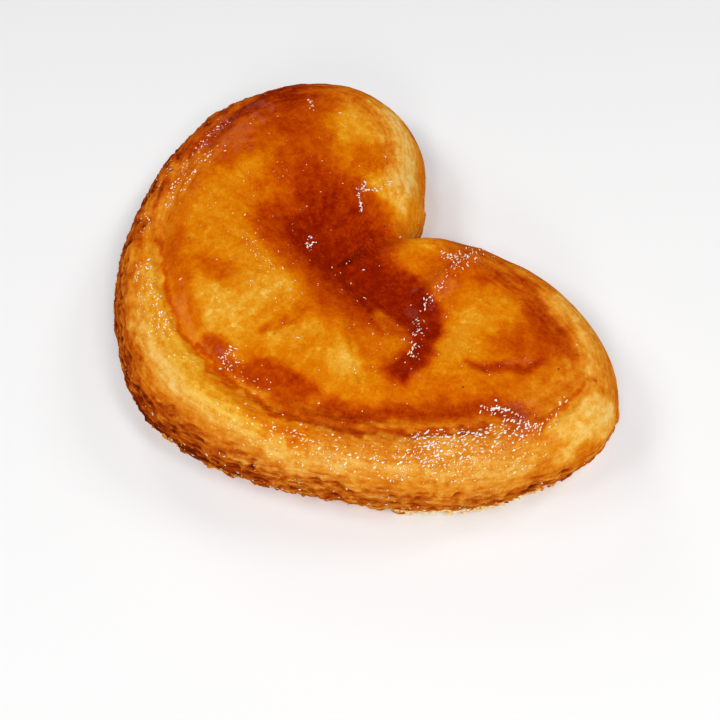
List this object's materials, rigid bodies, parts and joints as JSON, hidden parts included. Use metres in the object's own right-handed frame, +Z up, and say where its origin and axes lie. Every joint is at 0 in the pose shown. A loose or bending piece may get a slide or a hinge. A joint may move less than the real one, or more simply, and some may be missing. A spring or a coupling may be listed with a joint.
{
  "type": "palmier pastry",
  "caption": "Large glazed palmier: a flat heart of coiled puff pastry with two unequal rolls, a notch between them, a rounded shoulder and a flat underside.",
  "frame": {"origin": "centre of the flat underside's bounding box, on the surface the pastry lies on", "axes": "+Z up through the top; +X along the pastry's length, towards the smaller roll; +Y out of the notch, away from the heart's tip"},
  "size_m": [0.1747, 0.131, 0.0259],
  "materials": {
    "glazed_crust": "baked puff pastry under a caramelised sugar glaze: amber and golden on top with mahogany pools, pale cream on the shoulder, red-brown and flaky on the wall"
  },
  "bodies": {
    "root": {"palmier": "glazed_crust"}
  },
  "joints": []
}
